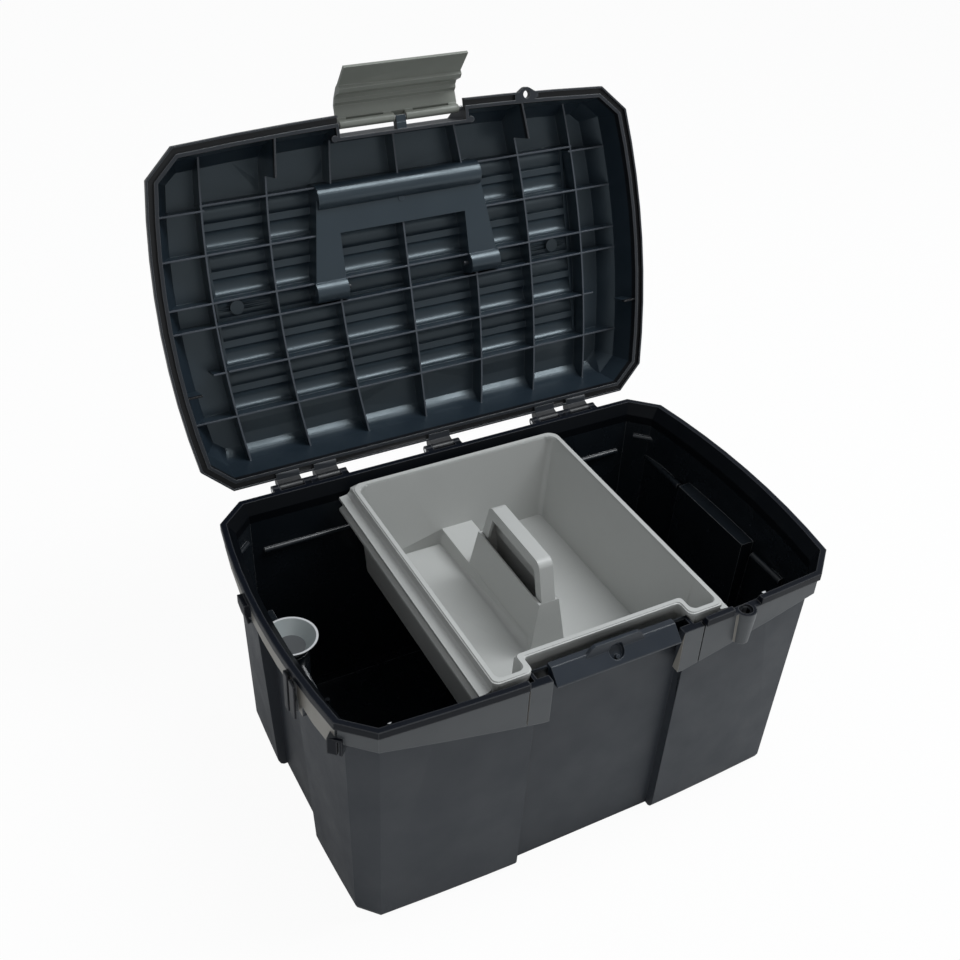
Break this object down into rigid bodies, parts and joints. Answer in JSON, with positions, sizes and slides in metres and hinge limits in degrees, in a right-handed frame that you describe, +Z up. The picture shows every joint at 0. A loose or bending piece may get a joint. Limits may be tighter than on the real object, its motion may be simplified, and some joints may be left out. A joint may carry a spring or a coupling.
{
  "type": "toolbox with tray",
  "caption": "Plastic toolbox with a hinged ribbed lid, front snap latch, folding carry handle, lift-out tray and a small cup in the side of the tub.",
  "frame": {"origin": "centre of the base, on the floor", "axes": "+Z up, -Y towards the front with the latch, +X to the right seen from the front"},
  "size_m": [0.4222, 0.3942, 0.5019],
  "materials": {
    "tub_plastic": "fine moulded grain outside, smooth and darker inside",
    "lid_plastic": "smooth moulded blue-black",
    "latch_plastic": "satin grey moulding",
    "handle_plastic": "satin moulded black",
    "tray_plastic": "fine moulded grain, light grey",
    "cup_plastic": "smooth light grey",
    "pin_steel": "bright drawn wire"
  },
  "bodies": {
    "tub": {"tub": "tub_plastic", "hinge_pin_far_left": "pin_steel", "hinge_pin_left": "pin_steel", "hinge_pin_centre": "pin_steel", "hinge_pin_right": "pin_steel", "hinge_pin_far_right": "pin_steel"},
    "lid": {"lid": "lid_plastic", "handle_pin_left": "pin_steel", "handle_pin_right": "pin_steel", "latch_pin": "pin_steel"},
    "handle": {"carry_handle": "handle_plastic"},
    "latch": {"latch": "latch_plastic"},
    "tray": {"tray": "tray_plastic", "tray_grip": "tray_plastic"},
    "cup": {"tool_cup": "cup_plastic"}
  },
  "joints": [
    {"name": "lid_hinge", "type": "hinge", "parent": "tub", "child": "lid", "pos_m": [0, 0.13569, 0.20705], "axis": [-1, 0, 0], "range_deg": [-107.65, 0]},
    {"name": "latch_hinge", "type": "hinge", "parent": "lid", "child": "latch", "pos_m": [0, 0.22612, 0.45447], "axis": [-1, 0, 0], "range_deg": [-52, 0]},
    {"name": "handle_hinge", "type": "hinge", "parent": "lid", "child": "handle", "pos_m": [0, 0.20694, 0.33055], "axis": [-1, 0, 0], "range_deg": [0, 90]},
    {"name": "tray_lift", "type": "slide", "parent": "tub", "child": "tray", "axis": [0, 0, 1], "range_m": [0, 0.3]},
    {"name": "cup_lift", "type": "slide", "parent": "tub", "child": "cup", "axis": [0, 0, 1], "range_m": [0, 0.15]}
  ]
}
